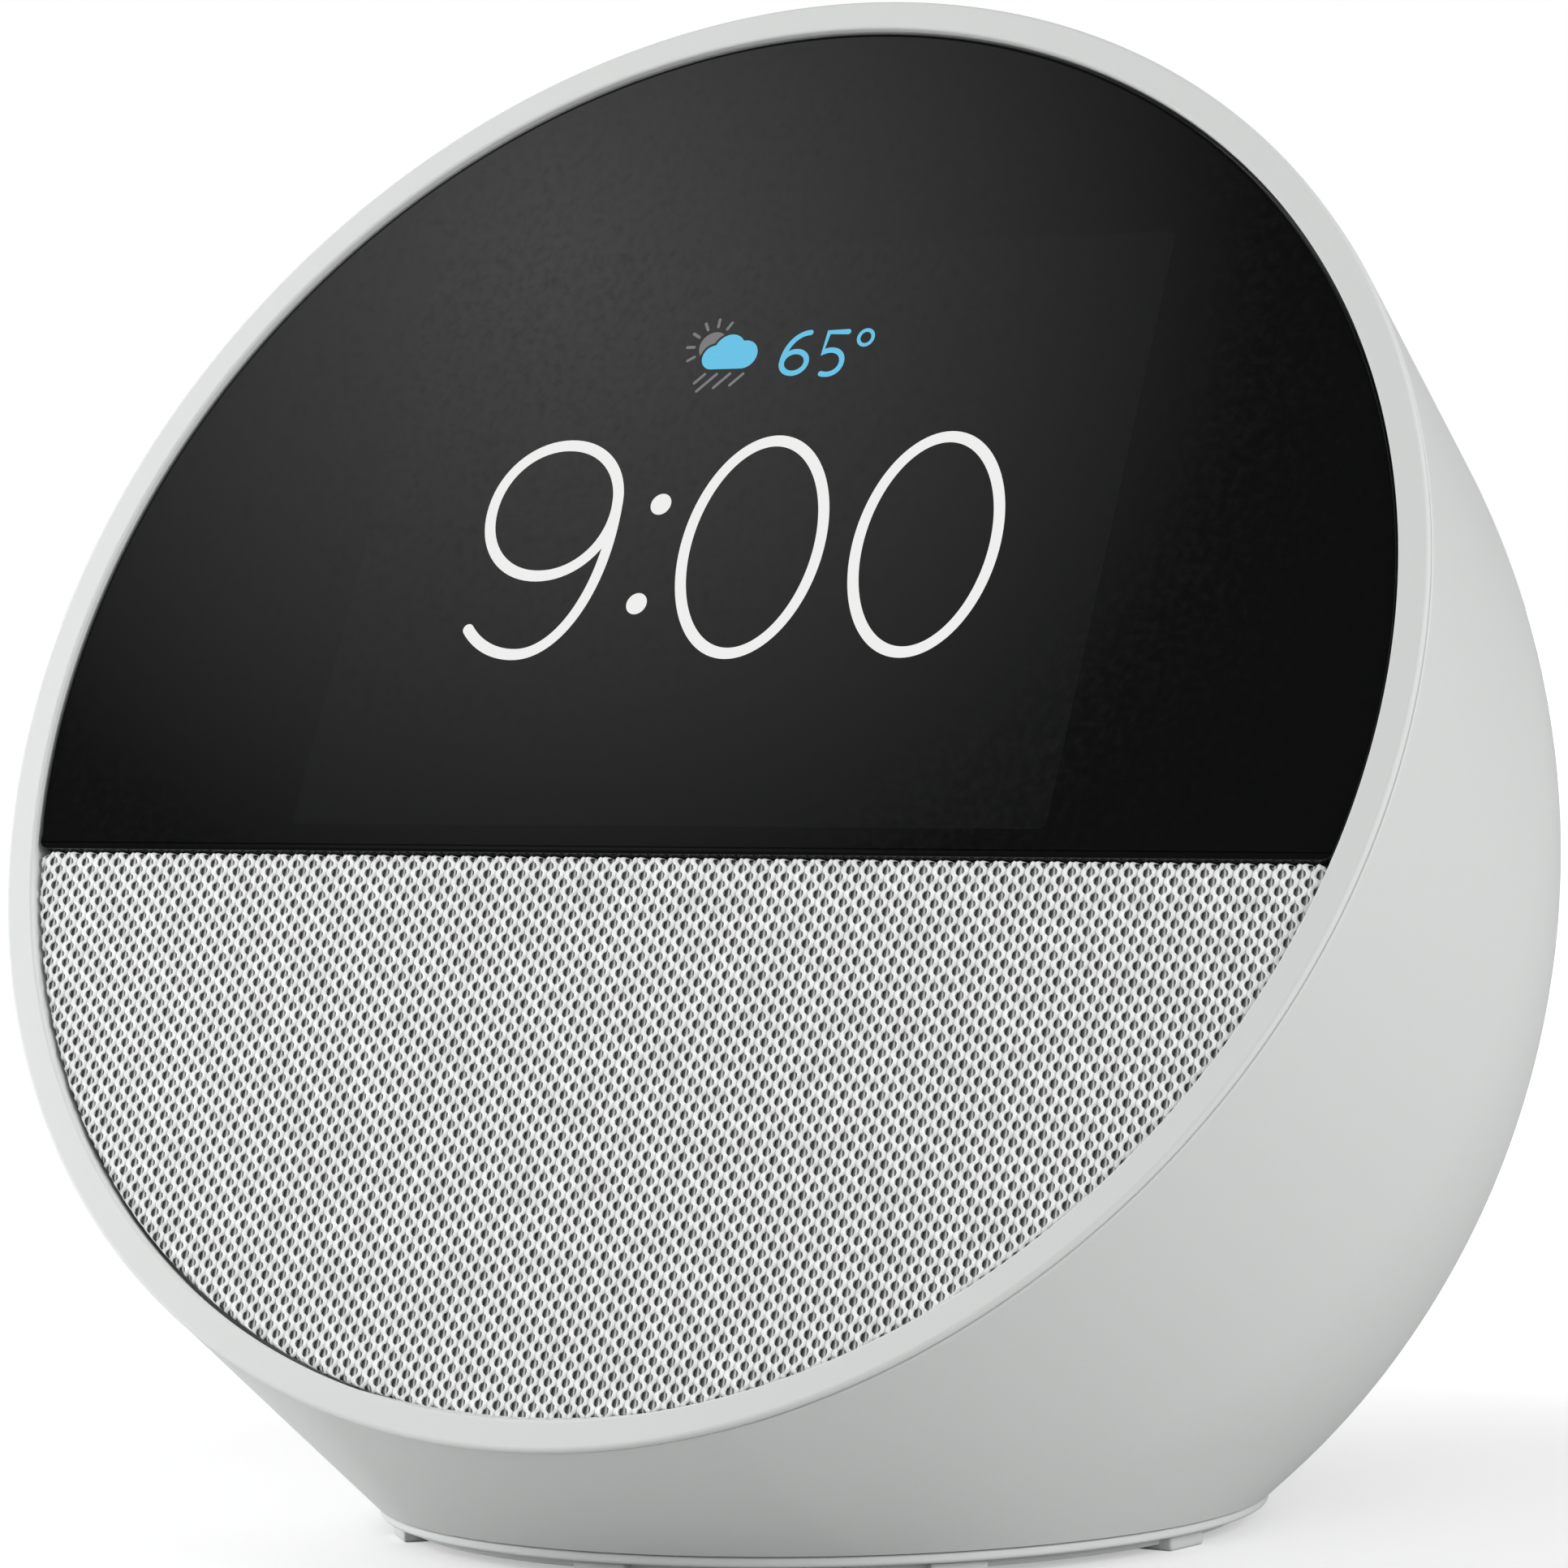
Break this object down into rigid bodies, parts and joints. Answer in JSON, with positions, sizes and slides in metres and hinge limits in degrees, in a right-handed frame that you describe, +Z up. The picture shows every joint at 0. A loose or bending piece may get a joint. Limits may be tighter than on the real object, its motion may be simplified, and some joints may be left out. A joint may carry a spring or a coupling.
{
  "type": "smart display",
  "caption": "Round smart display with a tilted face: black touch glass above a knitted speaker grille, in a dome body on a flat base, with three push buttons on top.",
  "frame": {"origin": "middle of the object's footprint box, on the surface that it stands on", "axes": "+Z up, the tilted face looks towards -Y, +X to the right as seen from the front"},
  "size_m": [0.113, 0.1032, 0.1106],
  "materials": {
    "white_shell": "fine matte moulded white",
    "white_bezel": "fine matte moulded white",
    "white_button": "matte moulded white",
    "base_white": "satin moulded white",
    "foot_rubber": "matte pale grey",
    "black_glass": "polished black-backed glass",
    "black_tape": "matte foam",
    "panel_black": "satin black",
    "dark_plastic": "matte moulded dark grey",
    "grey_plastic": "matte grey",
    "grille_knit": "white open knit",
    "dark_metal": "dark coated steel",
    "bright_metal": "plated sheet",
    "heat_sink": "plain aluminium",
    "screw_steel": "zinc plated",
    "surround_rubber": "matte",
    "cone_paper": "coated paper",
    "copper_wire": "lacquered winding",
    "board_green": "solder mask",
    "connector_ivory": "moulded",
    "flex_amber": "polyimide film",
    "gold_can": "plated can"
  },
  "bodies": {
    "housing": {"rear_shell": "white_shell", "bezel_ring": "white_bezel", "cover_glass": "black_glass", "glass_tape": "black_tape", "display_panel": "panel_black", "backlight": "bright_metal", "display_bracket": "dark_plastic", "bracket_screws": "screw_steel", "shell_screws": "screw_steel", "grille_fabric": "grille_knit", "grille_frame": "grey_plastic", "speaker_gasket": "black_tape", "speaker_basket": "dark_metal", "speaker_surround": "surround_rubber", "speaker_magnet": "dark_metal", "speaker_enclosure": "dark_plastic", "speaker_screws": "screw_steel", "main_board": "board_green", "board_screws": "screw_steel", "processor_shield": "bright_metal", "heat_spreader": "heat_sink", "memory_chips": "panel_black", "board_connectors": "connector_ivory", "display_cable": "flex_amber", "wifi_antennas": "flex_amber", "button_carrier": "dark_plastic", "button_flex": "flex_amber", "button_switches": "bright_metal", "microphones": "gold_can", "power_inlet": "panel_black", "inlet_pin": "bright_metal", "inlet_bracket": "dark_plastic", "base_plate": "base_white", "base_screws": "screw_steel", "foot_ring": "foot_rubber", "ballast_weight": "dark_metal"},
    "cone": {"speaker_cone": "cone_paper", "dust_cap": "cone_paper", "voice_coil": "copper_wire"},
    "volume_down": {"button_volume_down": "white_button"},
    "microphone_off": {"button_microphone": "white_button"},
    "volume_up": {"button_volume_up": "white_button"}
  },
  "joints": [
    {"name": "cone_travel", "type": "slide", "parent": "housing", "child": "cone", "axis": [0, -0.8886, 0.4586], "range_m": [-0.001, 0.001], "stiffness_N_per_m": 1200},
    {"name": "volume_down_press", "type": "slide", "parent": "housing", "child": "volume_down", "axis": [0.3405, -0.5121, -0.7886], "range_m": [0, 0.0005], "stiffness_N_per_m": 800},
    {"name": "microphone_press", "type": "slide", "parent": "housing", "child": "microphone_off", "axis": [0, -0.5446, -0.8387], "range_m": [0, 0.0005], "stiffness_N_per_m": 800},
    {"name": "volume_up_press", "type": "slide", "parent": "housing", "child": "volume_up", "axis": [-0.3405, -0.5121, -0.7886], "range_m": [0, 0.0005], "stiffness_N_per_m": 800}
  ]
}
